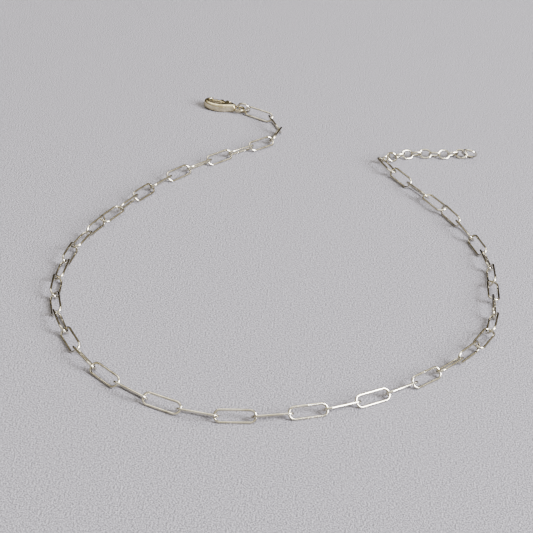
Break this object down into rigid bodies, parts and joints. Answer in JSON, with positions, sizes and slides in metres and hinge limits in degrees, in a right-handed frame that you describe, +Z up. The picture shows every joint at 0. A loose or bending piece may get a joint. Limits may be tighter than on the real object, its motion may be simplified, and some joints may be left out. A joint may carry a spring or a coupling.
{
  "type": "paperclip chain necklace",
  "caption": "Necklace of oblong interlocking wire links, laid open on a surface, with a lobster clasp at one end and a short extender of small rings at the other.",
  "frame": {"origin": "middle of the outline as it lies, on the surface that it rests on", "axes": "+Z up from the surface, +Y towards the open side of the loop with the clasp and the extender, +X towards the extender's side"},
  "size_m": [0.1142, 0.1802, 0.004],
  "materials": {
    "chain_steel": "polished wire",
    "clasp_steel": "tumbled casting"
  },
  "bodies": {
    "necklace": {"link_01": "chain_steel", "link_02": "chain_steel", "link_03": "chain_steel", "link_04": "chain_steel", "link_05": "chain_steel", "link_06": "chain_steel", "link_07": "chain_steel", "link_08": "chain_steel", "link_09": "chain_steel", "link_10": "chain_steel", "link_11": "chain_steel", "link_12": "chain_steel", "link_13": "chain_steel", "link_14": "chain_steel", "link_15": "chain_steel", "link_16": "chain_steel", "link_17": "chain_steel", "link_18": "chain_steel", "link_19": "chain_steel", "link_20": "chain_steel", "link_21": "chain_steel", "link_22": "chain_steel", "link_23": "chain_steel", "link_24": "chain_steel", "link_25": "chain_steel", "link_26": "chain_steel", "link_27": "chain_steel", "link_28": "chain_steel", "link_29": "chain_steel", "link_30": "chain_steel", "link_31": "chain_steel", "link_32": "chain_steel", "link_33": "chain_steel", "link_34": "chain_steel", "link_35": "chain_steel", "link_36": "chain_steel", "link_37": "chain_steel", "link_38": "chain_steel", "link_39": "chain_steel", "link_40": "chain_steel", "link_41": "chain_steel", "link_42": "chain_steel", "link_43": "chain_steel", "link_44": "chain_steel", "link_45": "chain_steel", "link_46": "chain_steel", "link_47": "chain_steel", "clasp_ring": "chain_steel", "extender_chain": "chain_steel", "end_ring": "chain_steel", "clasp_pin": "chain_steel", "clasp_body": "clasp_steel"},
    "lever": {"clasp_lever": "clasp_steel"}
  },
  "joints": [
    {"name": "lever_hinge", "type": "hinge", "parent": "necklace", "child": "lever", "pos_m": [-0.02062, 0.08668, 0.00125], "axis": [0, 0, 1], "range_deg": [0, 20], "stiffness_Nm_per_rad": 0.002}
  ]
}
